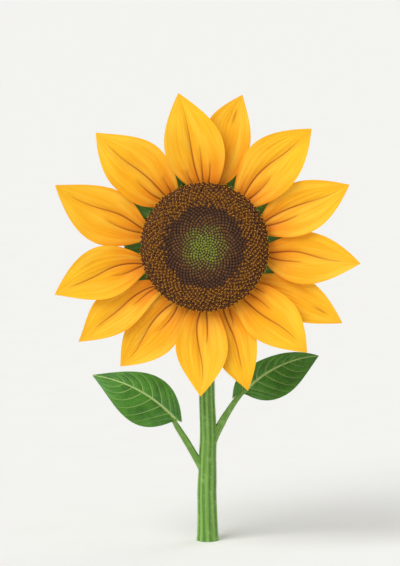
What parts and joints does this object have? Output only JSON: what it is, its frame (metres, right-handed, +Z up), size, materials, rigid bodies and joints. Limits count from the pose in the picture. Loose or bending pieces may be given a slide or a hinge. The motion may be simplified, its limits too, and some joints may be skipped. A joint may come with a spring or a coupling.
{
  "type": "sunflower plant",
  "caption": "Rooted sunflower plant: upright stem bending forward into a large round flower head, pointed ray petals over green bracts, and heart-shaped leaves on stalks.",
  "frame": {"origin": "centre of the flat cut under the stem, at ground level", "axes": "+Z up along the stem; the flower head faces -Y; +X to the right as seen from the front"},
  "size_m": [0.2714, 0.1044, 0.4159],
  "materials": {
    "stem": "matte",
    "receptacle": "matte",
    "seed_disc": "matte",
    "petal": "satin",
    "bract": "matte",
    "leaf": "satin"
  },
  "bodies": {
    "root": {"stem": "stem", "neck": "stem", "receptacle": "receptacle", "seed_disc": "seed_disc", "leaf_stalk_left": "stem", "leaf_stalk_right": "stem", "leaf_blade_left": "leaf", "leaf_blade_right": "leaf", "petal_01": "petal", "petal_02": "petal", "petal_03": "petal", "petal_04": "petal", "petal_05": "petal", "petal_06": "petal", "petal_07": "petal", "petal_08": "petal", "petal_09": "petal", "petal_10": "petal", "petal_11": "petal", "petal_12": "petal", "petal_13": "petal", "petal_14": "petal", "bract_front_01": "bract", "bract_front_02": "bract", "bract_front_03": "bract", "bract_front_04": "bract", "bract_front_05": "bract", "bract_front_06": "bract", "bract_front_07": "bract", "bract_front_08": "bract", "bract_front_09": "bract", "bract_front_10": "bract", "bract_front_11": "bract", "bract_front_12": "bract", "bract_front_13": "bract", "bract_rear_01": "bract", "bract_rear_02": "bract", "bract_rear_03": "bract", "bract_rear_04": "bract", "bract_rear_05": "bract", "bract_rear_06": "bract", "bract_rear_07": "bract", "bract_rear_08": "bract", "bract_rear_09": "bract", "bract_rear_10": "bract", "bract_rear_11": "bract", "bract_rear_12": "bract", "bract_rear_13": "bract"}
  },
  "joints": []
}
